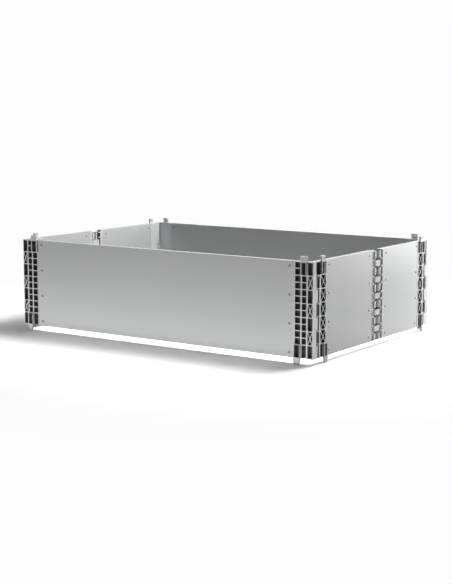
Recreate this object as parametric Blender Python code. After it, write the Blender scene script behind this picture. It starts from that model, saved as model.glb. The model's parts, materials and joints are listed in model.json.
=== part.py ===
# Folding pallet collar: four hollow-profile sides on lattice corner hinges and double-pivot mid hinges.
# Metres, +Z up. Origin on the floor under the middle of the collar; the long sides run along X.
import math

import bmesh
import bpy
from mathutils import Matrix, Vector

# Overall sizes
OUTER_LENGTH = 1.220        # over the end faces of the corner leaves, along X
OUTER_WIDTH = 0.820         # over the outer faces of the two long sides, along Y
SIDE_HEIGHT = 0.310         # panels and leaves, without tabs and feet
FOOT_REACH = 0.020          # feet below the lower edge
TAB_REACH = 0.017           # tabs above the upper edge
LEAF_THICK = 0.019
MID_OFFSET = 0.020          # mid hinges off centre, so that folded tabs pass each other
PIVOT_SPACING = 0.028       # between the two pins of a mid hinge

# Clearances
SEAT_GAP = 0.0003           # between pieces that touch
RUNNING_GAP = 0.0010        # round a turning knuckle
KNUCKLE_GAP = 0.0005        # above and below a corner knuckle
PIN_CLEARANCE = 0.0003      # radial, pin to bore
OVERLAP = 0.0010            # how far joined shapes run into each other
CUT_PAST = 0.0050           # how far a cutter runs past the face that it opens

# Hollow profile of the panels
PANEL_THICK = 0.0175
SKIN = 0.0025
WEB = 0.0020
CHAMBERS = 10
FINGER_CHAMBERS = (0, 3, 6, 9)
FINGER_LENGTH = 0.034
FINGER_LEAD = 0.0012        # taper of a finger's tip, each side

# Pins
PIN_RADIUS = 0.0040
PIN_SIDES = 10
PIN_RECESS = 0.0040         # pin ends below the leaf's edge
PIN_CHAMFER = 0.0008
PIN_STAND = 0.0060          # how far a corner pin stands up into the open top segment

# Corner hinge
CORNER_SEGMENTS = 7
LONG_KNUCKLES = (3, 5, 7)   # counted from the top
SHORT_KNUCKLES = (2, 4, 6)
FOLD_GAP = 0.0010           # between the folded half and the long side
LONG_TAPER = 0.0080         # how much lower a knuckle's nose is than its root, each end
SHORT_TAPER = 0.0030
KNUCKLE_TAPER_START = 0.0010
RIB = 0.0030
BACK_WALL = 0.0030
ARC_STEPS = 5               # facets of a half round
NOSE_RECESS_START = 0.0015  # past the pin axis, where the face of a long knuckle steps back

# Long leaf, from the corner inwards
OUTER_RIB = 0.0016
BRACED_CELL_WIDTH = 0.0178
LONG_RIB = 0.0050
SECOND_CELL_WIDTH = 0.0166
THIRD_CELL_WIDTH = 0.0205
LONG_EDGE_RIB = 0.0035
CELLS_PER_SEGMENT = 2

# Short leaf, from the barrel inwards
BARREL_RIB = 0.0080
SHORT_BRACED_WIDTH = 0.032
SHORT_EDGE_RIB = 0.0050
BARREL_SHELL = 0.0010       # left between the bore and the pocket over a short knuckle
BARREL_POCKET_LEAD = 0.0048  # that pocket's start before the pin axis
BARREL_POCKET_RUN = 0.0015  # its end past the barrel
BRACE = 0.0024              # diagonal ribs

# Tabs and feet
PROUD = 0.0060              # how far they stand out of the leaf's face
TAB_THICK = PROUD           # the tab's back is level with the leaf's face
TAB_HEAD_THICK = 0.0100
TAB_HEAD_HEIGHT = 0.0055
TAB_GROOVE = 0.0012
TAB_GROOVE_WIDTH = 0.0080
STACK_GAP = 0.0010          # between a tab and the next collar's foot
FOOT_TAPER = 0.0024         # each side, from the leaf's edge to the tip
FOOT_THIN = 0.0015          # how much thinner the tip is
RIB_RECESS = 0.0080         # ribs set back where a tab passes
FOOT_WALL = 0.0030
SHORT_TAB_START = 0.0050    # from the short leaf's barrel end, front right and back left
SHORT_TAB_WIDTH = 0.0190
FAR_TAB_START = 0.0195      # the same at the other two corners, where tab and foot change places
FAR_TAB_WIDTH = 0.0180
FAR_FOOT_START = 0.0065
FAR_BOX_START = 0.0340      # open top box there, from the long side's outer face

# Mid hinge
MID_KNUCKLES = 6
MID_KNUCKLE_HEIGHT = 0.0230
MID_TOP_DROP = 0.0060       # top knuckles below the leaf's upper edge
LINK_BLOCK_HEIGHT = 0.0215
MID_LEAF_REACH = 0.0240     # from the pin to the leaf's edge at the panel
MID_POCKET_DEPTH = 0.0050
MID_POCKET_START = 0.0067
MID_EDGE_RIB = 0.0030
MID_RIB = 0.0050
MID_POCKET_OVERRUN = 0.0020
BEARING_WEB = 0.0040        # webs of a mid knuckle that hold the pin
KNUCKLE_SHELL = 0.0075      # outer wall of a mid knuckle
SPINE_WIDTH = 0.0080
SPINE_DEPTH = 0.0065

# Colours and finishes
PANEL_GREY = (0.62, 0.63, 0.64)
LEAF_GREY = (0.55, 0.56, 0.57)
LINK_GREY = (0.66, 0.67, 0.68)
PIN_GREY = (0.45, 0.45, 0.46)
PLASTIC_ROUGHNESS = 0.5
STEEL_ROUGHNESS = 0.35
SHARP_ANGLE = math.radians(35)

# Derived places
KNUCKLE_RADIUS = LEAF_THICK / 2
PIN_DEPTH = LEAF_THICK / 2                              # pin axis inside a side's outer face
CORNER_PIN = LEAF_THICK + FOLD_GAP + KNUCKLE_RADIUS     # pin axis inside the long side's outer face
SEGMENT = SIDE_HEIGHT / CORNER_SEGMENTS
HALF_LENGTH = OUTER_LENGTH / 2
HALF_WIDTH = OUTER_WIDTH / 2
PIN_X = HALF_LENGTH - PIN_DEPTH
PIN_Y = HALF_WIDTH - CORNER_PIN
BASE_Z = FOOT_REACH
BORE_RADIUS = PIN_RADIUS + PIN_CLEARANCE
CHAMBER_HEIGHT = (SIDE_HEIGHT - 2 * SKIN - (CHAMBERS - 1) * WEB) / CHAMBERS
CHAMBER_THICK = PANEL_THICK - 2 * SKIN
SECOND_CELL_START = OUTER_RIB + BRACED_CELL_WIDTH + LONG_RIB
THIRD_CELL_START = SECOND_CELL_START + SECOND_CELL_WIDTH + LONG_RIB
LONG_LEAF_WIDTH = THIRD_CELL_START + THIRD_CELL_WIDTH + LONG_EDGE_RIB
BARREL_FACE = PIN_DEPTH - BORE_RADIUS - BARREL_SHELL    # depth of the pockets over a barrel
SHORT_LEAF_START = CORNER_PIN + KNUCKLE_RADIUS + RUNNING_GAP
SHORT_CELL_START = SHORT_LEAF_START + BARREL_RIB
SHORT_CELL_END = SHORT_CELL_START + SHORT_BRACED_WIDTH
SHORT_LEAF_END = SHORT_CELL_END + SHORT_EDGE_RIB
MID_LEAF_START = KNUCKLE_RADIUS + RUNNING_GAP
MID_TOP = SIDE_HEIGHT - MID_TOP_DROP
MID_PITCH = (MID_TOP - MID_KNUCKLE_HEIGHT) / (MID_KNUCKLES - 1)
LINK_GAP = (MID_PITCH - MID_KNUCKLE_HEIGHT - LINK_BLOCK_HEIGHT) / 2


def clear_scene():
    for old in list(bpy.data.objects):
        bpy.data.objects.remove(old, do_unlink=True)


def plastic(name, colour, roughness=PLASTIC_ROUGHNESS, metallic=0.0):
    material = bpy.data.materials.new(name)
    material.use_nodes = True
    shader = material.node_tree.nodes["Principled BSDF"]
    shader.inputs["Base Color"].default_value = (*colour, 1.0)
    shader.inputs["Roughness"].default_value = roughness
    shader.inputs["Metallic"].default_value = metallic
    material.diffuse_color = (*colour, 1.0)
    return material


class Solids:
    """Closed solids collected into one mesh; each is a prism or a tapered box."""

    def __init__(self):
        self.bm = bmesh.new()

    def prism(self, outline, axis, low, high):
        """Extrude an outline along 'x', 'y' or 'z'; its points are the other two axes in XYZ order."""
        def point(a, b, c):
            return {"x": (c, a, b), "y": (a, c, b), "z": (a, b, c)}[axis]
        bottom = [self.bm.verts.new(point(a, b, low)) for a, b in outline]
        top = [self.bm.verts.new(point(a, b, high)) for a, b in outline]
        count = len(outline)
        faces = [self.bm.faces.new(bottom), self.bm.faces.new(top)]
        for i in range(count):
            j = (i + 1) % count
            faces.append(self.bm.faces.new((bottom[i], bottom[j], top[j], top[i])))
        bmesh.ops.recalc_face_normals(self.bm, faces=faces)

    def box(self, x, y, z):
        self.prism([(x[0], y[0]), (x[1], y[0]), (x[1], y[1]), (x[0], y[1])], "z", *z)

    def taper(self, base, tip, axis, low, high):
        """A box whose cross-section goes from base to tip; each is two ranges in XYZ order."""
        def ring(section, at):
            (a0, a1), (b0, b1) = section
            corners = [(a0, b0), (a1, b0), (a1, b1), (a0, b1)]
            point = {"x": lambda a, b: (at, a, b), "y": lambda a, b: (a, at, b),
                     "z": lambda a, b: (a, b, at)}[axis]
            return [self.bm.verts.new(point(a, b)) for a, b in corners]
        bottom = ring(base, low)
        top = ring(tip, high)
        faces = [self.bm.faces.new(bottom), self.bm.faces.new(top)]
        for i in range(4):
            j = (i + 1) % 4
            faces.append(self.bm.faces.new((bottom[i], bottom[j], top[j], top[i])))
        bmesh.ops.recalc_face_normals(self.bm, faces=faces)

    def cylinder(self, x, y, radius, low, high, sides=PIN_SIDES):
        turn = 2 * math.pi / sides
        outline = [(x + radius * math.cos((i + 0.5) * turn), y + radius * math.sin((i + 0.5) * turn))
                   for i in range(sides)]
        self.prism(outline, "z", low, high)

    def mesh(self, name):
        data = bpy.data.meshes.new(name)
        self.bm.to_mesh(data)
        self.bm.free()
        return data


def carved(name, base, joined=None, cut=None):
    """The mesh left when 'joined' solids are united with the base and 'cut' solids are taken away."""
    body = bpy.data.objects.new(name, base.mesh(name))
    bpy.context.scene.collection.objects.link(body)
    tools = []
    for operation, solids in (("UNION", joined), ("DIFFERENCE", cut)):
        if solids is None:
            continue
        tool = bpy.data.objects.new(name + "_" + operation.lower(), solids.mesh(name))
        bpy.context.scene.collection.objects.link(tool)
        boolean = body.modifiers.new(operation.title(), "BOOLEAN")
        boolean.operation = operation
        boolean.solver = "EXACT"
        boolean.use_self = True
        boolean.object = tool
        tools.append(tool)
    evaluated = body.evaluated_get(bpy.context.evaluated_depsgraph_get())
    result = bpy.data.meshes.new_from_object(evaluated)
    for spare in [body, *tools]:
        bpy.data.objects.remove(spare, do_unlink=True)
    tidy = bmesh.new()
    tidy.from_mesh(result)
    bmesh.ops.remove_doubles(tidy, verts=tidy.verts, dist=1e-6)
    bmesh.ops.dissolve_limit(tidy, angle_limit=math.radians(0.05), verts=tidy.verts, edges=tidy.edges)
    tidy.to_mesh(result)
    tidy.free()
    return result


def place(name, mesh, location, signs, material):
    """Put a copy of the mesh at a pivot; signs mirror it in X and Y."""
    data = mesh.copy()
    data.name = name
    data.transform(Matrix.Diagonal((signs[0], signs[1], 1.0, 1.0)))
    if signs[0] * signs[1] < 0:
        data.flip_normals()
    data.materials.clear()
    data.materials.append(material)
    data.shade_smooth()
    data.set_sharp_from_angle(angle=SHARP_ANGLE)
    piece = bpy.data.objects.new(name, data)
    piece.location = location
    bpy.context.scene.collection.objects.link(piece)
    return piece


def chamber_middle(index):
    return SKIN + CHAMBER_HEIGHT / 2 + index * (CHAMBER_HEIGHT + WEB)


def hollow_panel(name, length):
    """Profile board, from the origin along +X, outer face at -Y; its chambers run its whole length."""
    base = Solids()
    base.box((0, length), (-PANEL_THICK / 2, PANEL_THICK / 2), (0, SIDE_HEIGHT))
    chambers = Solids()
    for index in range(CHAMBERS):
        middle = chamber_middle(index)
        chambers.box((-CUT_PAST, length + CUT_PAST), (-CHAMBER_THICK / 2, CHAMBER_THICK / 2),
                     (middle - CHAMBER_HEIGHT / 2, middle + CHAMBER_HEIGHT / 2))
    return carved(name, base, cut=chambers)


def fingers(solids, axis, start, middle):
    """The leaf's fingers, which fill four chambers of the panel's end; 'middle' is across the thickness."""
    half_thick = CHAMBER_THICK / 2 - SEAT_GAP
    half_high = CHAMBER_HEIGHT / 2 - SEAT_GAP
    for index in FINGER_CHAMBERS:
        z = chamber_middle(index)
        base = ((middle - half_thick, middle + half_thick), (z - half_high, z + half_high))
        tip = tuple((low + FINGER_LEAD, high - FINGER_LEAD) for low, high in base)
        solids.taper(base, tip, axis, start - OVERLAP, start + FINGER_LENGTH)


def braced_cell(solids, axis, across, up, low, high):
    """Four triangular pockets that leave two crossing diagonal ribs."""
    (a0, a1), (z0, z1) = across, up
    wide, tall = a1 - a0, z1 - z0
    diagonal = math.hypot(wide, tall)
    along_flat = BRACE / 2 * diagonal / tall
    along_side = BRACE / 2 * diagonal / wide
    ac, zc = (a0 + a1) / 2, (z0 + z1) / 2
    solids.prism([(a0 + along_flat, z0), (a1 - along_flat, z0), (ac, zc - along_side)], axis, low, high)
    solids.prism([(a0 + along_flat, z1), (a1 - along_flat, z1), (ac, zc + along_side)], axis, low, high)
    solids.prism([(a0, z0 + along_side), (a0, z1 - along_side), (ac - along_flat, zc)], axis, low, high)
    solids.prism([(a1, z0 + along_side), (a1, z1 - along_side), (ac + along_flat, zc)], axis, low, high)


def knuckle_outline(root, nose_sign):
    """Outline in plan of a corner knuckle, from its root to the half round about the pin."""
    points = [(0.0, root), (LEAF_THICK, root)]
    for step in range(ARC_STEPS + 1):
        turn = math.pi * step / ARC_STEPS
        points.append((PIN_DEPTH + KNUCKLE_RADIUS * math.cos(turn),
                       CORNER_PIN + nose_sign * KNUCKLE_RADIUS * math.sin(turn)))
    return points


def knuckle_taper(solids, nose_sign, end, inward, taper):
    """A wedge that slopes one end of a knuckle towards its nose; 'inward' is +1 at its lower end."""
    nose = CORNER_PIN + nose_sign * (KNUCKLE_RADIUS + CUT_PAST)
    root = CORNER_PIN - nose_sign * (KNUCKLE_RADIUS - KNUCKLE_TAPER_START)
    drop = taper * abs(nose - root) / (2 * KNUCKLE_RADIUS)
    outside = end - inward * KNUCKLE_GAP / 2
    outline = [(root, end), (nose, end + inward * drop), (nose, outside), (root, outside)]
    solids.prism(outline, "x", -OVERLAP, LEAF_THICK + OVERLAP)


def segment_range(segment):
    """Heights of a corner segment; segment 1 is the top one."""
    high = SIDE_HEIGHT - (segment - 1) * SEGMENT
    return high - SEGMENT, high


def cell_range(low, high):
    """Clear height of a cell between the ribs on its borders."""
    bottom = RIB if low < OVERLAP else low + RIB / 2
    top = SIDE_HEIGHT - RIB if high > SIDE_HEIGHT - OVERLAP else high - RIB / 2
    return bottom, top


def tab_and_foot(joined, cut, axis, tab, foot):
    """Upward tab and downward foot of a leaf; 'tab' and 'foot' are their widths along the leaf."""
    def add(solids, across, through, up):
        if axis == "x":
            solids.box(through, across, up)
        else:
            solids.box(across, through, up)
    top_low, _ = segment_range(1)
    _, foot_high = segment_range(CORNER_SEGMENTS)
    tab_top = SIDE_HEIGHT + TAB_REACH
    hook = [(-PROUD, top_low + RIB), (OVERLAP, top_low + RIB), (OVERLAP, SIDE_HEIGHT - OVERLAP),
            (TAB_THICK - PROUD, SIDE_HEIGHT - OVERLAP), (TAB_THICK - PROUD, tab_top - TAB_HEAD_HEIGHT),
            (TAB_HEAD_THICK - PROUD, tab_top - TAB_HEAD_HEIGHT), (TAB_HEAD_THICK - PROUD, tab_top),
            (-PROUD, tab_top)]
    blade = [(-PROUD, foot_high), (-PROUD, -FOOT_REACH), (-FOOT_THIN, -FOOT_REACH), (0.0, 0.0),
             (OVERLAP, OVERLAP), (OVERLAP, foot_high)]
    if axis == "x":
        joined.prism(hook, "y", *tab)
        joined.prism(blade, "y", *foot)
    else:
        joined.prism(hook, "x", *tab)
        joined.prism(blade, "x", *foot)
    for edge, inward in ((foot[0], 1), (foot[1], -1)):
        outside = edge - inward * OVERLAP
        corner = [(outside, 0.0), (edge, 0.0), (edge + inward * FOOT_TAPER, -FOOT_REACH),
                  (edge + inward * FOOT_TAPER, -FOOT_REACH - OVERLAP), (outside, -FOOT_REACH - OVERLAP)]
        cut.prism(corner, axis, -PROUD - CUT_PAST, CUT_PAST)
    middle = (tab[0] + tab[1]) / 2
    groove = (middle - TAB_GROOVE_WIDTH / 2, middle + TAB_GROOVE_WIDTH / 2)
    add(cut, groove, (-PROUD - CUT_PAST, -PROUD + TAB_GROOVE),
        (SIDE_HEIGHT + RIB, tab_top - TAB_HEAD_HEIGHT / 2))


def long_leaf(swapped):
    """Corner leaf of a long side: outer corner at the origin, inwards along +X, outer face at -Y.

    The tab is on the second column of cells and the foot on the third; 'swapped' changes them over.
    """
    pocket = (-PROUD - CUT_PAST, LEAF_THICK - BACK_WALL)
    recessed = (-PROUD - CUT_PAST, RIB_RECESS)
    braced = (OUTER_RIB, OUTER_RIB + BRACED_CELL_WIDTH)
    second = (SECOND_CELL_START, SECOND_CELL_START + SECOND_CELL_WIDTH)
    third = (THIRD_CELL_START, THIRD_CELL_START + THIRD_CELL_WIDTH)
    if swapped:
        tab_cell, foot_cell = third, second
        tab = (third[0] - LONG_RIB / 2, LONG_LEAF_WIDTH)
        foot = (second[0] - LONG_RIB / 2, tab[0] - STACK_GAP)
    else:
        tab_cell, foot_cell = second, third
        tab = (second[0] - LONG_RIB / 2, second[1] + LONG_RIB / 2)
        foot = (tab[1] + STACK_GAP, LONG_LEAF_WIDTH)
    base = Solids()
    base.box((0, LONG_LEAF_WIDTH), (0, LEAF_THICK), (0, SIDE_HEIGHT))
    joined = Solids()
    cut = Solids()
    fingers(joined, "x", LONG_LEAF_WIDTH, LEAF_THICK / 2)
    tab_and_foot(joined, cut, "y", tab, foot)
    for segment in range(1, CORNER_SEGMENTS + 1):
        low, high = segment_range(segment)
        clear = cell_range(low, high)
        if segment % 2:
            cut.box(braced, pocket, clear)
        else:
            braced_cell(cut, "y", braced, clear, *pocket)
        if segment in LONG_KNUCKLES:
            low_end = low if segment == CORNER_SEGMENTS else low + KNUCKLE_GAP
            joined.prism(knuckle_outline(LEAF_THICK - OVERLAP, 1), "z", low_end, high - KNUCKLE_GAP)
            knuckle_taper(cut, 1, high - KNUCKLE_GAP, -1, LONG_TAPER)
            if segment < CORNER_SEGMENTS:
                knuckle_taper(cut, 1, low_end, 1, LONG_TAPER)
            cut.box((-CUT_PAST, BARREL_FACE),
                    (CORNER_PIN + NOSE_RECESS_START, CORNER_PIN + KNUCKLE_RADIUS + CUT_PAST), (low, high))
        step = SEGMENT / CELLS_PER_SEGMENT
        for row in range(CELLS_PER_SEGMENT):
            cell = cell_range(low + row * step, low + (row + 1) * step)
            cut.box(second, pocket, cell)
            cut.box(third, pocket, cell)
    # Ribs set back: the middle rib behind the tab, and those that the next collar's tab passes
    top_low, top_high = segment_range(1)
    foot_low, foot_high = segment_range(CORNER_SEGMENTS)
    for across, (low, high) in ((tab_cell, (top_low, top_high)), (foot_cell, (foot_low, foot_high)),
                                (tab_cell, (foot_low, foot_high))):
        middle = (low + high) / 2
        cut.box(across, recessed, (middle - RIB / 2 - OVERLAP, middle + RIB / 2 + OVERLAP))
    cut.box(tab_cell, recessed, (-CUT_PAST, RIB + OVERLAP))
    cut.cylinder(PIN_DEPTH, CORNER_PIN, BORE_RADIUS, -CUT_PAST, SIDE_HEIGHT + CUT_PAST)
    mesh = carved("long_leaf", base, joined, cut)
    mesh.transform(Matrix.Translation((-PIN_DEPTH, -CORNER_PIN, 0)))
    return mesh


def short_leaf(swapped):
    """Corner leaf of a short half: outer corner at the origin, inwards along +Y, outer face at -X.

    The tab is next to the barrel and the foot next to the panel; 'swapped' changes them over.
    """
    pocket = (-PROUD - CUT_PAST, LEAF_THICK - BACK_WALL)
    recessed = (-PROUD - CUT_PAST, RIB_RECESS)
    braced = (SHORT_CELL_START, SHORT_CELL_END)
    if swapped:
        tab_start, tab_width, box_start = FAR_TAB_START, FAR_TAB_WIDTH, FAR_BOX_START
    else:
        tab_start, tab_width, box_start = SHORT_TAB_START, SHORT_TAB_WIDTH, LEAF_THICK
    tab = (SHORT_LEAF_START + tab_start, SHORT_LEAF_START + tab_start + tab_width)
    if swapped:
        foot = (SHORT_LEAF_START + FAR_FOOT_START, tab[0] - STACK_GAP)
    else:
        foot = (tab[1] + STACK_GAP, SHORT_LEAF_END)
    base = Solids()
    base.box((0, LEAF_THICK), (SHORT_LEAF_START, SHORT_LEAF_END), (0, SIDE_HEIGHT))
    joined = Solids()
    cut = Solids()
    fingers(joined, "y", SHORT_LEAF_END, LEAF_THICK / 2)
    tab_and_foot(joined, cut, "x", tab, foot)
    for segment in range(1, CORNER_SEGMENTS + 1):
        low, high = segment_range(segment)
        clear = cell_range(low, high)
        if segment in SHORT_KNUCKLES:
            inside = (low + KNUCKLE_GAP, high - KNUCKLE_GAP)
            joined.prism(knuckle_outline(SHORT_LEAF_START + OVERLAP, -1), "z", *inside)
            knuckle_taper(cut, -1, inside[0], 1, SHORT_TAPER)
            knuckle_taper(cut, -1, inside[1], -1, SHORT_TAPER)
            cut.box((-CUT_PAST, BARREL_FACE),
                    (CORNER_PIN - BARREL_POCKET_LEAD, SHORT_LEAF_START + BARREL_POCKET_RUN),
                    (inside[0] + SHORT_TAPER, inside[1] - SHORT_TAPER))
        if 1 < segment < CORNER_SEGMENTS:
            braced_cell(cut, "x", braced, clear, *pocket)
    # Top segment: an open box beside the tab towards the barrel, one pocket behind the tab and one beyond it
    low, high = segment_range(1)
    clear = cell_range(low, high)
    joined.prism(knuckle_outline(SHORT_LEAF_START + OVERLAP, -1), "z", low, high)
    cut.box((-CUT_PAST, LEAF_THICK - BACK_WALL), (box_start, tab[0]), clear)
    cut.box(pocket, (tab[0] + FOOT_WALL, tab[1] - FOOT_WALL), clear)
    if not swapped:
        cut.box(pocket, (tab[1], braced[1]), clear)
    # Bottom segment: open recess for the next collar's tab, and the foot's pocket
    low, high = segment_range(CORNER_SEGMENTS)
    clear = cell_range(low, high)
    cut.box(pocket, (tab[0] + FOOT_WALL, tab[1] - FOOT_WALL), clear)
    cut.box(recessed, (tab[0] + FOOT_WALL, tab[1] - FOOT_WALL), (-CUT_PAST, clear[0] + OVERLAP))
    cut.box(pocket, (foot[0] + FOOT_WALL, foot[1] - FOOT_WALL), clear)
    cut.cylinder(PIN_DEPTH, CORNER_PIN, BORE_RADIUS, -CUT_PAST, SIDE_HEIGHT + CUT_PAST)
    mesh = carved("short_leaf", base, joined, cut)
    mesh.transform(Matrix.Translation((-PIN_DEPTH, -CORNER_PIN, 0)))
    return mesh


def mid_outline(root):
    """Outline in plan of a mid knuckle: half round about the pin, root towards +Y."""
    points = [(KNUCKLE_RADIUS, root), (-KNUCKLE_RADIUS, root)]
    for step in range(ARC_STEPS + 1):
        turn = math.pi * (1 + step / ARC_STEPS)
        points.append((KNUCKLE_RADIUS * math.cos(turn), KNUCKLE_RADIUS * math.sin(turn)))
    return points


def mid_leaf():
    """Leaf of a mid hinge: pin axis at the origin, inwards along +Y, outer face at -X."""
    base = Solids()
    base.box((-KNUCKLE_RADIUS, KNUCKLE_RADIUS), (MID_LEAF_START, MID_LEAF_REACH), (0, SIDE_HEIGHT))
    joined = Solids()
    cut = Solids()
    fingers(joined, "y", MID_LEAF_REACH, 0.0)
    pocket = (-KNUCKLE_RADIUS - CUT_PAST, -KNUCKLE_RADIUS + MID_POCKET_DEPTH)
    cell_end = MID_LEAF_REACH - MID_EDGE_RIB
    for index in range(MID_KNUCKLES):
        low = index * MID_PITCH
        high = low + MID_KNUCKLE_HEIGHT
        joined.prism(mid_outline(MID_LEAF_START + OVERLAP), "z", low, high)
        bottom = RIB if index == 0 else low - MID_POCKET_OVERRUN
        top = SIDE_HEIGHT - RIB if index == MID_KNUCKLES - 1 else high + MID_POCKET_OVERRUN
        cut.box(pocket, (MID_POCKET_START, cell_end), (bottom, top))
        cut.box((KNUCKLE_SHELL - KNUCKLE_RADIUS, KNUCKLE_RADIUS + CUT_PAST),
                (-KNUCKLE_RADIUS - CUT_PAST, MID_LEAF_START - RUNNING_GAP),
                (low + BEARING_WEB, high - BEARING_WEB))
        if index < MID_KNUCKLES - 1:
            following = low + MID_PITCH
            cut.box(pocket, (MID_POCKET_START, cell_end),
                    (top + MID_RIB, following - MID_POCKET_OVERRUN - MID_RIB))
    cut.cylinder(0.0, 0.0, BORE_RADIUS, -CUT_PAST, SIDE_HEIGHT + CUT_PAST)
    return carved("mid_leaf", base, joined, cut)


def mid_link():
    """Ladder link of a mid hinge: five blocks with round ends on one spine, pins at -Y and +Y."""
    base = Solids()
    base.box((KNUCKLE_RADIUS - SPINE_DEPTH, KNUCKLE_RADIUS), (-SPINE_WIDTH / 2, SPINE_WIDTH / 2),
             (0, MID_TOP))
    joined = Solids()
    cut = Solids()
    half = PIVOT_SPACING / 2
    outline = []
    for centre, first in ((half, 0.0), (-half, math.pi)):
        for step in range(ARC_STEPS + 1):
            turn = first + math.pi * step / ARC_STEPS
            outline.append((KNUCKLE_RADIUS * math.cos(turn), centre + KNUCKLE_RADIUS * math.sin(turn)))
    for index in range(MID_KNUCKLES - 1):
        low = index * MID_PITCH + MID_KNUCKLE_HEIGHT + LINK_GAP
        joined.prism(outline, "z", low, low + LINK_BLOCK_HEIGHT)
    for side in (-half, half):
        cut.cylinder(0.0, side, BORE_RADIUS, -CUT_PAST, SIDE_HEIGHT + CUT_PAST)
    return carved("mid_link", base, joined, cut)


def hinge_pin(high):
    """Steel pin with chamfered ends, from just above the lower edge to the height given."""
    bm = bmesh.new()
    low = PIN_RECESS
    bmesh.ops.create_cone(bm, cap_ends=True, segments=PIN_SIDES, radius1=PIN_RADIUS, radius2=PIN_RADIUS,
                          depth=high - low, matrix=Matrix.Translation((0, 0, (low + high) / 2)))
    rims = [edge for edge in bm.edges if abs(edge.verts[0].co.z - edge.verts[1].co.z) < PIN_CHAMFER]
    bmesh.ops.bevel(bm, geom=rims, offset=PIN_CHAMFER, segments=1, affect="EDGES")
    data = bpy.data.meshes.new("hinge_pin")
    bm.to_mesh(data)
    bm.free()
    return data


def build():
    clear_scene()
    panel_grey = plastic("panel_plastic", PANEL_GREY)
    leaf_grey = plastic("leaf_plastic", LEAF_GREY)
    link_grey = plastic("link_plastic", LINK_GREY)
    pin_steel = plastic("pin_steel", PIN_GREY, STEEL_ROUGHNESS, 1.0)
    long_leaves = (long_leaf(False), long_leaf(True))
    short_leaves = (short_leaf(False), short_leaf(True))
    leaf_mid = mid_leaf()
    link = mid_link()
    corner_pin = hinge_pin(SIDE_HEIGHT - SEGMENT + RIB + PIN_STAND)
    mid_pin = hinge_pin(MID_TOP - PIN_RECESS)

    # Corners: signs are -1 on the left and at the front; front left and back right have the swapped leaves
    for end, sy in (("front", -1), ("back", 1)):
        for side, sx in (("left", -1), ("right", 1)):
            corner = Vector((sx * PIN_X, sy * PIN_Y, BASE_Z))
            mirror = (-sx, -sy)
            name = end + "_" + side
            hand = int(sx == sy)
            place(name + "_long_leaf", long_leaves[hand], corner, mirror, leaf_grey)
            place(name + "_short_leaf", short_leaves[hand], corner, mirror, leaf_grey)
            place(name + "_corner_pin", corner_pin, corner, mirror, pin_steel)

    # Long sides
    long_start = HALF_LENGTH - LONG_LEAF_WIDTH - SEAT_GAP
    long_panel = hollow_panel("long_panel", 2 * long_start)
    for end, sy in (("front", -1), ("back", 1)):
        middle = sy * (HALF_WIDTH - LEAF_THICK / 2)
        place(end + "_panel", long_panel, Vector((-long_start, middle, BASE_Z)), (1, -sy), panel_grey)

    # Short sides: the right mid hinge lies behind the middle and the left one in front of it
    for side, sx in (("left", -1), ("right", 1)):
        hinge_y = sx * MID_OFFSET
        middle_x = sx * PIN_X
        place(side + "_mid_link", link, Vector((middle_x, hinge_y, BASE_Z)), (-sx, 1), link_grey)
        for end, sy in (("front", -1), ("rear", 1)):
            pivot = Vector((middle_x, hinge_y + sy * PIVOT_SPACING / 2, BASE_Z))
            place(side + "_mid_" + end + "_leaf", leaf_mid, pivot, (-sx, sy), leaf_grey)
            place(side + "_mid_" + end + "_pin", mid_pin, pivot, (1, 1), pin_steel)
            inner_end = sy * pivot.y + MID_LEAF_REACH + SEAT_GAP
            outer_end = HALF_WIDTH - SHORT_LEAF_END - SEAT_GAP
            half_panel = hollow_panel(side + "_" + end + "_profile", outer_end - inner_end)
            half_panel.transform(Matrix.Rotation(math.pi / 2, 4, "Z"))
            start = Vector((middle_x, sy * inner_end, BASE_Z))
            place(side + "_" + end + "_panel", half_panel, start, (1, sy), panel_grey)


build()
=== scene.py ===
import json
import math

import bpy
import numpy as np
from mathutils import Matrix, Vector


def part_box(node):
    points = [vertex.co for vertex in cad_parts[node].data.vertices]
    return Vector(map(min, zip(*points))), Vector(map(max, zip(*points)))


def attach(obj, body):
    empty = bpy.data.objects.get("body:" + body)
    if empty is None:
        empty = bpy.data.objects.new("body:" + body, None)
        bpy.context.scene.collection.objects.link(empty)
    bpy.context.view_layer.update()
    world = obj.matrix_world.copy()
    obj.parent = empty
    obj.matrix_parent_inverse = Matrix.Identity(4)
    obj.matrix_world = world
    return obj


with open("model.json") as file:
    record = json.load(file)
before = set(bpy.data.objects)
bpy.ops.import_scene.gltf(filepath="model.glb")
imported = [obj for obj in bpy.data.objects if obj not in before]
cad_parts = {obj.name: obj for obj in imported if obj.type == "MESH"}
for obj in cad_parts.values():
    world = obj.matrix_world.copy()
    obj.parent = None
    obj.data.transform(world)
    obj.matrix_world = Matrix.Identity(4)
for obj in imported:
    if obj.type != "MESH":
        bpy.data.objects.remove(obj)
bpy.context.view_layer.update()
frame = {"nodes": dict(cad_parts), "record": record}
nodes = frame["nodes"]
bodies = frame["record"]["behaviour"]["bodies"]
bodyOf = {node: body for body, members in bodies.items() for node in members}

# Sizes read from the frame
standProud = 0.006                                    # tabs and feet in front of the leaves
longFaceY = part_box("back_left_long_leaf")[1].y - standProud
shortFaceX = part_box("back_right_short_leaf")[1].x - standProud
panelLow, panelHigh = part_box("front_panel")
sideBottom, sideTop = panelLow.z, panelHigh.z
sideHeight = sideTop - sideBottom
rowHeight = sideHeight / 7                            # a corner leaf has seven rows of cells
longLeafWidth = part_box("front_right_long_leaf")[1].x - panelHigh.x


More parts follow.
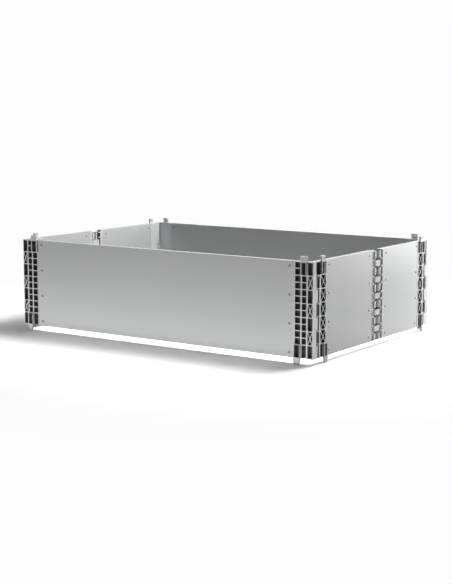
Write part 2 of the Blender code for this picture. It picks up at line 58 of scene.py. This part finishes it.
def mathNode(tree, operation, first, second=None, clamp=False):
    node = tree.nodes.new("ShaderNodeMath")
    node.operation = operation
    node.use_clamp = clamp
    for socket, value in zip(node.inputs, (first, second)):
        if value is None:
            continue
        if isinstance(value, bpy.types.NodeSocket):
            tree.links.new(value, socket)
        else:
            socket.default_value = value
    return node.outputs[0]


def times(tree, first, second):
    return mathNode(tree, "MULTIPLY", first, second)


def smoothRange(tree, value, low, high):
    # 0 below low, 1 above high, smooth between; low above high turns it round
    node = tree.nodes.new("ShaderNodeMapRange")
    node.interpolation_type = "SMOOTHSTEP"
    tree.links.new(value, node.inputs["Value"])
    node.inputs["From Min"].default_value = min(low, high)
    node.inputs["From Max"].default_value = max(low, high)
    if low > high:
        node.inputs["To Min"].default_value = 1.0
        node.inputs["To Max"].default_value = 0.0
    return node.outputs["Result"]


def newGroup(name, inputs, outputs):
    group = bpy.data.node_groups.new(name, "ShaderNodeTree")
    for socketName, kind, value in inputs:
        socket = group.interface.new_socket(socketName, in_out="INPUT", socket_type=kind)
        socket.default_value = value
    for socketName, kind in outputs:
        group.interface.new_socket(socketName, in_out="OUTPUT", socket_type=kind)
    return group, group.nodes.new("NodeGroupInput"), group.nodes.new("NodeGroupOutput")


mould = {"grainScale": 900.0, "grainDetail": 2.0, "cloudScale": 9.0, "cloudDetail": 3.0}


def mouldedGrainGroup():
    # fine leather-like grain and slow cloudy tone of injection-moulded plastic
    group, given, result = newGroup(
        "mouldedGrain",
        [("Grain Scale", "NodeSocketFloat", mould["grainScale"]),
         ("Cloud Scale", "NodeSocketFloat", mould["cloudScale"])],
        [("Tone", "NodeSocketFloat"), ("Height", "NodeSocketFloat")])
    place = group.nodes.new("ShaderNodeTexCoord")
    grain = group.nodes.new("ShaderNodeTexNoise")
    grain.inputs["Detail"].default_value = mould["grainDetail"]
    cloud = group.nodes.new("ShaderNodeTexNoise")
    cloud.inputs["Detail"].default_value = mould["cloudDetail"]
    for texture, scale in ((grain, "Grain Scale"), (cloud, "Cloud Scale")):
        group.links.new(place.outputs["Object"], texture.inputs["Vector"])
        group.links.new(given.outputs[scale], texture.inputs["Scale"])
    group.links.new(cloud.outputs["Fac"], result.inputs["Tone"])
    group.links.new(grain.outputs["Fac"], result.inputs["Height"])
    return group


dieLines = {"density": 300.0, "drift": 0.7, "fineScale": 1.0, "fineDetail": 2.0, "fineShare": 0.45,
            "broadScale": 0.16, "broadDetail": 1.0, "broadShare": 0.55}


def extrusionGroup():
    # lines left by the extrusion die: noise squeezed in height and drawn out along the board
    group, given, result = newGroup(
        "extrusionLines",
        [("Line Density", "NodeSocketFloat", dieLines["density"]),
         ("Drift", "NodeSocketFloat", dieLines["drift"])],
        [("Tone", "NodeSocketFloat"), ("Height", "NodeSocketFloat")])
    place = group.nodes.new("ShaderNodeTexCoord")
    squeeze = group.nodes.new("ShaderNodeCombineXYZ")
    group.links.new(given.outputs["Drift"], squeeze.inputs["X"])
    group.links.new(given.outputs["Drift"], squeeze.inputs["Y"])
    group.links.new(given.outputs["Line Density"], squeeze.inputs["Z"])
    spread = group.nodes.new("ShaderNodeVectorMath")
    spread.operation = "MULTIPLY"
    group.links.new(place.outputs["Object"], spread.inputs[0])
    group.links.new(squeeze.outputs["Vector"], spread.inputs[1])
    noises = {}
    for kind in ("fine", "broad"):
        noises[kind] = group.nodes.new("ShaderNodeTexNoise")
        noises[kind].inputs["Scale"].default_value = dieLines[kind + "Scale"]
        noises[kind].inputs["Detail"].default_value = dieLines[kind + "Detail"]
        group.links.new(spread.outputs["Vector"], noises[kind].inputs["Vector"])
    mixed = mathNode(group, "ADD", times(group, noises["fine"].outputs["Fac"], dieLines["fineShare"]),
                     times(group, noises["broad"].outputs["Fac"], dieLines["broadShare"]))
    group.links.new(mixed, result.inputs["Tone"])
    group.links.new(noises["fine"].outputs["Fac"], result.inputs["Height"])
    return group


mouldedGrain = mouldedGrainGroup()
extrusionLines = extrusionGroup()


def newMaterial(name, roughness, metallic=0.0):
    material = bpy.data.materials.new(name)
    material.use_nodes = True
    shader = material.node_tree.nodes["Principled BSDF"]
    shader.inputs["Roughness"].default_value = roughness
    shader.inputs["Metallic"].default_value = metallic
    return material, shader


def useGroup(tree, group, values):
    node = tree.nodes.new("ShaderNodeGroup")
    node.node_tree = group
    for name, value in values.items():
        node.inputs[name].default_value = value
    return node


def grainOf(tree, look):
    scales = {"Grain Scale": look["grainScale"], "Cloud Scale": look["cloudScale"]}
    return useGroup(tree, mouldedGrain, scales)


def tonedColour(tree, colour, tone):
    # the plain colour times a tone that changes over the surface
    scaled = tree.nodes.new("ShaderNodeVectorMath")
    scaled.operation = "SCALE"
    scaled.inputs[0].default_value = colour
    tree.links.new(tone, scaled.inputs["Scale"])
    return scaled.outputs["Vector"]


def swing(tree, value, amount, middle=1.0):
    # a 0..1 value turned into middle plus or minus half the amount
    return mathNode(tree, "ADD", times(tree, value, amount), middle - amount / 2)


def roughen(tree, height, strength, distance):
    bump = tree.nodes.new("ShaderNodeBump")
    bump.inputs["Strength"].default_value = strength
    bump.inputs["Distance"].default_value = distance
    tree.links.new(height, bump.inputs["Height"])
    tree.links.new(bump.outputs["Normal"], tree.nodes["Principled BSDF"].inputs["Normal"])


board = {"colour": (0.56, 0.565, 0.57), "roughness": 0.42, "toneSwing": 0.14, "roughSwing": 0.12,
         "lineDensity": 320.0, "drift": 0.6, "bump": 0.12, "bumpDepth": 0.0002}


def boardPlastic():
    # extruded hollow board: satin, with faint lines along its length
    material, shader = newMaterial("panelPlastic", board["roughness"])
    tree = material.node_tree
    lines = useGroup(tree, extrusionLines, {"Line Density": board["lineDensity"], "Drift": board["drift"]})
    tone = swing(tree, lines.outputs["Tone"], board["toneSwing"])
    tree.links.new(tonedColour(tree, board["colour"], tone), shader.inputs["Base Color"])
    rough = swing(tree, lines.outputs["Tone"], board["roughSwing"], board["roughness"])
    tree.links.new(rough, shader.inputs["Roughness"])
    roughen(tree, lines.outputs["Height"], board["bump"], board["bumpDepth"])
    return material


leaf = {"colour": (0.66, 0.665, 0.67), "roughness": 0.48, "toneSwing": 0.10, "grainScale": 900.0,
        "cloudScale": 11.0, "bump": 0.15, "bumpDepth": 0.0001}


def axesOf(tree, vector):
    split = tree.nodes.new("ShaderNodeSeparateXYZ")
    tree.links.new(vector, split.inputs[0])
    return split.outputs


def leafPlastic(name, paintedShadeMask, paintedShade):
    # injection-moulded lattice; the deep pockets take little light, and the masked places are painted darker
    # as shade
    material, shader = newMaterial(name, leaf["roughness"])
    tree = material.node_tree
    grain = grainOf(tree, leaf)
    tone = swing(tree, grain.outputs["Tone"], leaf["toneSwing"])
    place = tree.nodes.new("ShaderNodeTexCoord")
    # painted shade: the mask darkens the colour in the pockets, gaps and flanks
    mask = paintedShadeMask(tree, axesOf(tree, place.outputs["Object"]), axesOf(tree, place.outputs["Normal"]))
    shade = mathNode(tree, "SUBTRACT", 1.0, times(tree, mask, 1.0 - paintedShade))
    tone = times(tree, tone, shade)
    tree.links.new(tonedColour(tree, leaf["colour"], tone), shader.inputs["Base Color"])
    roughen(tree, grain.outputs["Height"], leaf["bump"], leaf["bumpDepth"])
    return material


pocket = {"start": 0.0010, "full": 0.0058,            # depths between which the shade sets in
          "floor": 0.0163, "behind": 0.0172,          # depths between which it ends, at the pocket's floor
          "rib": 0.0008, "step": 0.0001,              # border that stays light, and the width of a hard step
          "outward": 0.75, "square": 0.40,            # outward part of the normal, on a face and on a wall
          "longShade": 0.17, "shortShade": 0.055, "midShade": 0.18, "linkShade": 0.16}


def between(tree, value, low, high):
    # 1 between low and high, 0 outside
    above = smoothRange(tree, value, low, low + pocket["step"])
    below = smoothRange(tree, value, high + pocket["step"], high)
    return times(tree, above, below)


def inwardFrom(tree, face, value):
    # distance inwards from a face that stands on both sides of the middle
    return mathNode(tree, "SUBTRACT", face, mathNode(tree, "ABSOLUTE", value))


def insideBorders(tree, z):
    return between(tree, z, sideBottom + pocket["rib"], sideTop - pocket["rib"])


def sideWall(tree, facing):
    # 1 on walls that stand square to the leaf's face, 0 on surfaces that look outwards
    return smoothRange(tree, mathNode(tree, "ABSOLUTE", facing), pocket["outward"], pocket["square"])


def pocketFade(tree, depth, facing):
    # 1 inside a pocket as far as its floor, where shade is painted; side walls are painted dark from just
    # below the face
    down = smoothRange(tree, depth, pocket["start"], pocket["full"])
    wall = times(tree, sideWall(tree, facing), smoothRange(tree, depth, 0.0, pocket["start"]))
    back = smoothRange(tree, depth, pocket["behind"], pocket["floor"])
    return times(tree, mathNode(tree, "MAXIMUM", down, wall), back)


stand = {"face": 0.0008, "share": 0.8}                # light rim at a bracket's front; how dark the painted shade on the flank is


def paintedFlankShade(tree, depth, z, facing):
    # painted shade on the flanks of the brackets under the tabs and over the feet, in front of the leaf's
    # face
    proud = between(tree, depth, stand["face"] - standProud, pocket["start"])
    proud = times(tree, proud, sideWall(tree, facing))
    fromMiddle = mathNode(tree, "ABSOLUTE", mathNode(tree, "SUBTRACT", z, (sideBottom + sideTop) / 2))
    ends = between(tree, fromMiddle, sideHeight / 2 - rowHeight, sideHeight / 2 - pocket["step"])
    return times(tree, times(tree, proud, ends), stand["share"])


knuckleNose = {"start": 0.0311, "end": 0.0400,        # measured from the long side's face
               "shallow": 0.0008, "deep": 0.0095}     # measured from the short side's face


def longPockets(tree, at, facing):
    # painted shade for the long leaves; depth runs inwards from the long side's outer face; only inside the
    # leaf's border ribs
    x, y, z = at
    depth = inwardFrom(tree, longFaceY, y)
    along = inwardFrom(tree, shortFaceX, x)
    inside = between(tree, along, pocket["rib"], longLeafWidth - pocket["rib"])
    cells = times(tree, times(tree, pocketFade(tree, depth, facing[1]), inside), insideBorders(tree, z))
    # painted shade on the stepped-back face over the nose of each knuckle, seen from the short side
    past = between(tree, depth, knuckleNose["start"], knuckleNose["end"])
    shallow = between(tree, along, knuckleNose["shallow"], knuckleNose["deep"])
    cells = mathNode(tree, "MAXIMUM", cells, times(tree, past, shallow))
    return mathNode(tree, "MAXIMUM", cells, paintedFlankShade(tree, depth, z, facing[1]))


shortCells = {"start": 0.0415, "end": 0.0835,         # the lattice, measured from the corner
              "boxStart": 0.0205,                     # the open top box reaches nearer to it
              "barrelStart": 0.0242, "barrelEnd": 0.0418, "barrelFull": 0.0032, "barrelFloor": 0.0052}


def shortPockets(tree, at, facing):
    # the same painted shade on the short side, with the shallow pockets over the barrel and the open top box
    x, y, z = at
    depth = inwardFrom(tree, shortFaceX, x)
    along = inwardFrom(tree, longFaceY, y)
    lattice = between(tree, along, shortCells["start"], shortCells["end"])
    topBox = between(tree, along, shortCells["boxStart"], shortCells["start"])
    topRow = between(tree, z, sideTop - rowHeight, sideTop)
    deep = mathNode(tree, "ADD", lattice, times(tree, topBox, topRow), clamp=True)
    deep = times(tree, deep, pocketFade(tree, depth, facing[0]))
    barrel = between(tree, along, shortCells["barrelStart"], shortCells["barrelEnd"])
    barrelDown = smoothRange(tree, depth, pocket["start"], shortCells["barrelFull"])
    barrelFloor = shortCells["barrelFloor"]
    barrelBack = smoothRange(tree, depth, barrelFloor + pocket["step"], barrelFloor)
    shallow = times(tree, times(tree, barrel, barrelDown), barrelBack)
    cells = times(tree, mathNode(tree, "MAXIMUM", deep, shallow), insideBorders(tree, z))
    return mathNode(tree, "MAXIMUM", cells, paintedFlankShade(tree, depth, z, facing[0]))


midCells = {"start": 0.0006, "full": 0.0035, "floor": 0.0053, "behind": 0.0060, "share": 0.31,
            "hinge": 0.020,                           # middle of the hinge, off the middle of the side
            "reach": 0.0238,                          # half the length over both rows of knuckles
            "shell": 0.0077, "rim": 0.0186}           # depths between which a window is painted dark as shade


def midPockets(tree, at, facing):
    # painted shade in the shallow cells of the mid leaves; depth runs inwards from the short side's outer
    # face
    x, y, z = at
    depth = inwardFrom(tree, shortFaceX, x)
    down = smoothRange(tree, depth, midCells["start"], midCells["full"])
    back = smoothRange(tree, depth, midCells["behind"], midCells["floor"])
    cells = times(tree, times(tree, down, back), insideBorders(tree, z))
    cells = times(tree, cells, midCells["share"])
    # painted shade at the windows at the back of each knuckle, through which the pin shows
    offMiddle = mathNode(tree, "SUBTRACT", mathNode(tree, "ABSOLUTE", y), midCells["hinge"])
    fromHinge = mathNode(tree, "ABSOLUTE", offMiddle)
    window = times(tree, between(tree, depth, midCells["shell"], midCells["rim"]),
                   between(tree, fromHinge, 0.0, midCells["reach"]))
    return mathNode(tree, "MAXIMUM", cells, window)


linkRungs = {"first": 0.02885, "pitch": 0.0562, "height": 0.0215,    # the blocks, from the bottom up
             "rounded": 0.0014, "clear": 0.0178}      # light edge of a block; depth of the clear inner face


def paintedLinkGapShade(tree, at, facing):
    # painted shade on the spine between the ladder link's blocks, where the knuckles shade it; its inner face
    # stays clear
    depth = inwardFrom(tree, shortFaceX, at[0])
    outer = smoothRange(tree, depth, linkRungs["clear"] + pocket["step"], linkRungs["clear"])
    above = mathNode(tree, "SUBTRACT", at[2], sideBottom + linkRungs["first"])
    step = mathNode(tree, "FLOORED_MODULO", above, linkRungs["pitch"])
    block = between(tree, step, linkRungs["rounded"], linkRungs["height"] - linkRungs["rounded"])
    return times(tree, mathNode(tree, "SUBTRACT", 1.0, block), outer)


# the pin's steel is near black; the dark colour also stands as painted shade where the pin shows through the
# hinge's windows
pinFinish = {"colour": (0.15, 0.15, 0.155), "roughness": 0.34, "roughSwing": 0.15, "metal": 1.0,
             "toneSwing": 0.12, "grainScale": 1200.0, "cloudScale": 60.0}
rivetLook = {"colour": (0.16, 0.16, 0.165), "roughness": 0.38, "roughSwing": 0.10, "metal": 0.85,
             "toneSwing": 0.20, "grainScale": 1500.0, "cloudScale": 90.0}


def steel(name, look):
    # drawn steel, a little dull
    material, shader = newMaterial(name, look["roughness"], look["metal"])
    tree = material.node_tree
    grain = grainOf(tree, look)
    tone = swing(tree, grain.outputs["Tone"], look["toneSwing"])
    tree.links.new(tonedColour(tree, look["colour"], tone), shader.inputs["Base Color"])
    rough = swing(tree, grain.outputs["Height"], look["roughSwing"], look["roughness"])
    tree.links.new(rough, shader.inputs["Roughness"])
    return material


panelFinish = boardPlastic()
longLeafFinish = leafPlastic("longLeafPlastic", longPockets, pocket["longShade"])
shortLeafFinish = leafPlastic("shortLeafPlastic", shortPockets, pocket["shortShade"])
midLeafFinish = leafPlastic("midLeafPlastic", midPockets, pocket["midShade"])
linkFinish = leafPlastic("linkPlastic", paintedLinkGapShade, pocket["linkShade"])
steelFinish = steel("pinSteel", pinFinish)
rivetFinish = steel("rivetSteel", rivetLook)
print("materials ready")

edges = {"weld": 0.00002, "flat": math.radians(0.3), "sharp": math.radians(25), "steps": 2,
         "radius": {"leaf": 0.00045, "panel": 0.0008, "link": 0.0006, "pin": 0.0003}}


def roundEdges(node, radius):
    # merges the loose triangles, drops flat seams, then rounds every sharp edge
    merge = node.modifiers.new("merge", "WELD")
    merge.merge_threshold = edges["weld"]
    flatten = node.modifiers.new("flatten", "DECIMATE")
    flatten.decimate_type = "DISSOLVE"
    flatten.angle_limit = edges["flat"]
    rounding = node.modifiers.new("rounding", "BEVEL")
    rounding.width = radius
    rounding.segments = edges["steps"]
    rounding.limit_method = "ANGLE"
    rounding.angle_limit = edges["sharp"]


def finishOf(name):
    if name.endswith("_pin"):
        return steelFinish, "pin"
    if name.endswith("_panel"):
        return panelFinish, "panel"
    if name.endswith("_link"):
        return linkFinish, "link"
    if "_mid_" in name:
        return midLeafFinish, "leaf"
    if name.endswith("long_leaf"):
        return longLeafFinish, "leaf"
    return shortLeafFinish, "leaf"


for name, node in nodes.items():
    finish, kind = finishOf(name)
    for materialSlot in node.material_slots:
        materialSlot.material = finish
    roundEdges(node, edges["radius"][kind])
print("CAD nodes dressed:", len(nodes))

rivet = {"radius": 0.0039, "dome": 0.0014, "sunk": 0.0004,
         "hollow": 0.0013, "hollowFloor": 0.0004, "hollowTaper": 0.85,
         "innerRadius": 0.0034, "innerDome": 0.0007, "rings": 6, "sides": 20,
         "rows": (0, 3, 6, 9), "chambers": 10, "web": 0.002,    # chambers of the board that hold a rivet
         "fromLongLeaf": 0.017, "fromShortLeaf": 0.015, "fromMidLeaf": 0.020}


def rivetHeads(centres, outward, radius, height):
    # dome: radius r cos t, height h sin t, from the rim up to the lip of the hollow, then down to its floor;
    # turned about the outward axis, with a sunk skirt ring that closes it against the board
    turn = np.linspace(0, math.acos(rivet["hollow"] / radius), rivet["rings"])
    reach = np.concatenate(([radius], radius * np.cos(turn), [rivet["hollow"] * rivet["hollowTaper"]]))
    rise = np.concatenate(([-rivet["sunk"]], height * np.sin(turn), [rivet["hollowFloor"]]))
    around = np.linspace(0, 2 * math.pi, rivet["sides"], endpoint=False)
    upward = np.array((0.0, 0.0, 1.0))
    across = np.cross(upward, outward)
    spokes = np.cos(around)[:, None] * across + np.sin(around)[:, None] * upward
    rings = reach[:, None, None] * spokes[None] + rise[:, None, None] * outward
    tip = (rivet["hollowFloor"] * outward)[None]
    head = np.concatenate((rings.reshape(-1, 3), tip))
    sides = rivet["sides"]
    last = (len(reach) - 1) * sides
    start = np.arange(len(reach) - 1)[:, None] * sides
    here = np.arange(sides)
    following = (here + 1) % sides
    quads = np.stack((start + here, start + following, start + sides + following, start + sides + here), -1)
    fan = np.stack((last + here, last + following, np.full(sides, len(head) - 1)), -1)
    points = (centres[:, None] + head[None]).reshape(-1, 3)
    faces = []
    for copy in range(len(centres)):
        base = copy * len(head)
        faces += (quads.reshape(-1, 4) + base).tolist()
        faces += (fan + base).tolist()
        faces.append((base + here[::-1]).tolist())
    return points, faces


def rivetRow(panelName, axis, along, label):
    # four rivets through the board into the fingers, with a low head inside
    low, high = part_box(panelName)
    pitch = (sideHeight - rivet["web"]) / rivet["chambers"]
    heights = [sideBottom + rivet["web"] / 2 + pitch * (row + 0.5) for row in rivet["rows"]]
    other = 1 - axis
    middle = (low[other] + high[other]) / 2
    sign = 1.0 if middle > 0 else -1.0
    half = (high[other] - low[other]) / 2
    outward = np.zeros(3)
    outward[other] = sign
    points, faces = [], []
    outer = (1, rivet["radius"], rivet["dome"])
    inner = (-1, rivet["innerRadius"], rivet["innerDome"])
    for face, radius, dome in (outer, inner):
        centres = np.zeros((len(heights), 3))
        centres[:, axis] = along
        centres[:, other] = middle + face * sign * half
        centres[:, 2] = heights
        headPoints, headFaces = rivetHeads(centres, outward * face, radius, dome)
        base = sum(len(earlier) for earlier in points)
        faces += [[corner + base for corner in corners] for corners in headFaces]
        points.append(headPoints)
    mesh = bpy.data.meshes.new(label)
    mesh.from_pydata(np.concatenate(points).tolist(), [], faces)
    mesh.validate()
    mesh.shade_smooth()
    mesh.materials.append(rivetFinish)
    row = bpy.data.objects.new(label, mesh)
    bpy.context.scene.collection.objects.link(row)
    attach(row, bodyOf[panelName])


for end in ("front", "back"):
    low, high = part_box(end + "_panel")
    rivetRow(end + "_panel", 0, low.x + rivet["fromLongLeaf"], end + "_left_rivets")
    rivetRow(end + "_panel", 0, high.x - rivet["fromLongLeaf"], end + "_right_rivets")
for side in ("left", "right"):
    for end, sign in (("front", -1), ("rear", 1)):
        name = side + "_" + end + "_panel"
        low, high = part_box(name)
        cornerEnd, midEnd = (low.y, high.y) if sign < 0 else (high.y, low.y)
        rivetRow(name, 1, cornerEnd - sign * rivet["fromShortLeaf"], side + "_" + end + "_corner_rivets")
        rivetRow(name, 1, midEnd + sign * rivet["fromMidLeaf"], side + "_" + end + "_mid_rivets")
print("rivets set")

studio = {"hub": 0.001, "nearFloor": 2.0, "floorRadius": 7.0, "rise": 2.5, "wallTop": 5.0,
          "sides": 96, "arcSteps": 10, "ambient": 0.05,
          "floorColour": (0.42, 0.42, 0.42), "floorRoughness": 0.9, "floorSpecular": 0.1,
          "shownFloor": 1.7, "backdrop": 0.98, "glowStart": 0.85, "glowFull": 1.7}


def floorPaper():
    # matt grey paper; the camera and mirrors see it white, with the part's shadow near the part
    # and an even glow farther out
    material, shader = newMaterial("floorPaper", studio["floorRoughness"])
    shader.inputs["Base Color"].default_value = (*studio["floorColour"], 1.0)
    shader.inputs["Specular IOR Level"].default_value = studio["floorSpecular"]
    tree = material.node_tree
    place = tree.nodes.new("ShaderNodeTexCoord")
    distance = tree.nodes.new("ShaderNodeVectorMath")
    distance.operation = "LENGTH"
    tree.links.new(place.outputs["Object"], distance.inputs[0])
    far = smoothRange(tree, distance.outputs["Value"], studio["glowStart"], studio["glowFull"])
    path = tree.nodes.new("ShaderNodeLightPath")
    seen = mathNode(tree, "ADD", path.outputs["Is Camera Ray"], path.outputs["Is Glossy Ray"])
    seen = mathNode(tree, "ADD", seen, path.outputs["Is Transmission Ray"], clamp=True)
    bright = tree.nodes.new("ShaderNodeBsdfDiffuse")
    bright.inputs["Color"].default_value = (studio["shownFloor"],) * 3 + (1.0,)
    glow = tree.nodes.new("ShaderNodeEmission")
    glow.inputs["Strength"].default_value = studio["backdrop"]
    shown = tree.nodes.new("ShaderNodeMixShader")
    tree.links.new(far, shown.inputs["Fac"])
    tree.links.new(bright.outputs["BSDF"], shown.inputs[1])
    tree.links.new(glow.outputs["Emission"], shown.inputs[2])
    mix = tree.nodes.new("ShaderNodeMixShader")
    tree.links.new(seen, mix.inputs["Fac"])
    tree.links.new(shader.outputs["BSDF"], mix.inputs[1])
    tree.links.new(shown.outputs["Shader"], mix.inputs[2])
    tree.links.new(mix.outputs["Shader"], tree.nodes["Material Output"].inputs["Surface"])
    return material


def studioBowl():
    # profile (flat floor, quarter arc, wall) turned about the Z axis, so every side sees the same backdrop
    quarter = np.linspace(0, math.pi / 2, studio["arcSteps"])
    wall = studio["floorRadius"] + studio["rise"]
    reach = np.concatenate(([studio["hub"], studio["nearFloor"]],
                            studio["floorRadius"] + studio["rise"] * np.sin(quarter), [wall]))
    level = np.concatenate(([0.0, 0.0], studio["rise"] * (1 - np.cos(quarter)), [studio["wallTop"]]))
    sides = studio["sides"]
    turn = np.linspace(0, 2 * math.pi, sides, endpoint=False)
    points = np.stack((reach[:, None] * np.cos(turn), reach[:, None] * np.sin(turn),
                       np.repeat(level[:, None], sides, 1)), -1).reshape(-1, 3)
    start = np.arange(len(reach) - 1)[:, None] * sides
    here = np.arange(sides)
    following = (here + 1) % sides
    quads = np.stack((start + here, start + sides + here, start + sides + following, start + following), -1)
    mesh = bpy.data.meshes.new("studioFloor")
    mesh.from_pydata(points.tolist(), [], quads.reshape(-1, 4).tolist())
    mesh.shade_smooth()
    mesh.materials.append(floorPaper())
    floor = bpy.data.objects.new("studioFloor", mesh)
    bpy.context.scene.collection.objects.link(floor)


# Every lamp: where it stands, the point it faces, its two sides and its watts
lamps = {
    "keyRight": {"place": (1.25, 1.25, 0.42), "target": (0.6, 0.25, 0.15), "size": (0.7, 0.5), "power": 14.2},
    "floorFront": {"place": (-0.05, -0.59, 0.001), "target": (-0.05, -0.59, 1.0), "size": (2.4, 0.32),
                   "power": 3.4},
    "lowFront": {"place": (-0.4, -3.4, 0.12), "target": (0, -0.4, 0.12), "size": (3.0, 0.16), "power": 18},
    "overhead": {"place": (0.3, 0.75, 4.2), "target": (0, 0, 0.0), "size": (2.5, 2.5), "power": 37},
    "insideLeft": {"place": (0.55, 0.62, 1.9), "target": (-0.6, 0.0, 0.1), "size": (0.9, 0.9), "power": 42},
    "fillBehind": {"place": (-2.6, 3.8, 1.8), "target": (0, 0, 0.15), "size": (2.5, 2.0), "power": 14},
}


def softLamp(name, look):
    light = bpy.data.lights.new(name, "AREA")
    light.shape = "RECTANGLE"
    light.size, light.size_y = look["size"]
    light.energy = look["power"]
    lamp = bpy.data.objects.new(name, light)
    lamp.location = look["place"]
    lamp.visible_camera = False
    aim = Vector(look["target"]) - Vector(look["place"])
    lamp.rotation_euler = aim.to_track_quat("-Z", "Y").to_euler()
    bpy.context.scene.collection.objects.link(lamp)


studioBowl()
for name, look in lamps.items():
    softLamp(name, look)
world = bpy.data.worlds.new("studioAir")
bpy.context.scene.world = world
world.use_nodes = True
world.node_tree.nodes["Background"].inputs["Color"].default_value = (1.0, 1.0, 1.0, 1.0)
world.node_tree.nodes["Background"].inputs["Strength"].default_value = studio["ambient"]
bpy.context.scene.view_settings.view_transform = "Standard"
print("studio ready")

photoCamera = {"place": (2.719, -3.991, 0.8429), "azimuth": math.radians(34.258), "down": math.radians(8.315),
               "focalPixels": 1339.4, "framePixels": 584, "sensor": 36.0, "farthest": 60.0}


def photographCamera():
    data = bpy.data.cameras.new("photographCamera")
    data.sensor_width = photoCamera["sensor"]
    data.lens = photoCamera["focalPixels"] / photoCamera["framePixels"] * photoCamera["sensor"]
    data.clip_end = photoCamera["farthest"]
    camera = bpy.data.objects.new("photographCamera", data)
    azimuth, down = photoCamera["azimuth"], photoCamera["down"]
    level = math.cos(down)
    forward = Vector((-math.sin(azimuth) * level, math.cos(azimuth) * level, -math.sin(down)))
    camera.location = photoCamera["place"]
    camera.rotation_euler = forward.to_track_quat("-Z", "Y").to_euler()
    bpy.context.scene.collection.objects.link(camera)
    bpy.context.scene.camera = camera


photographCamera()
print("camera set")
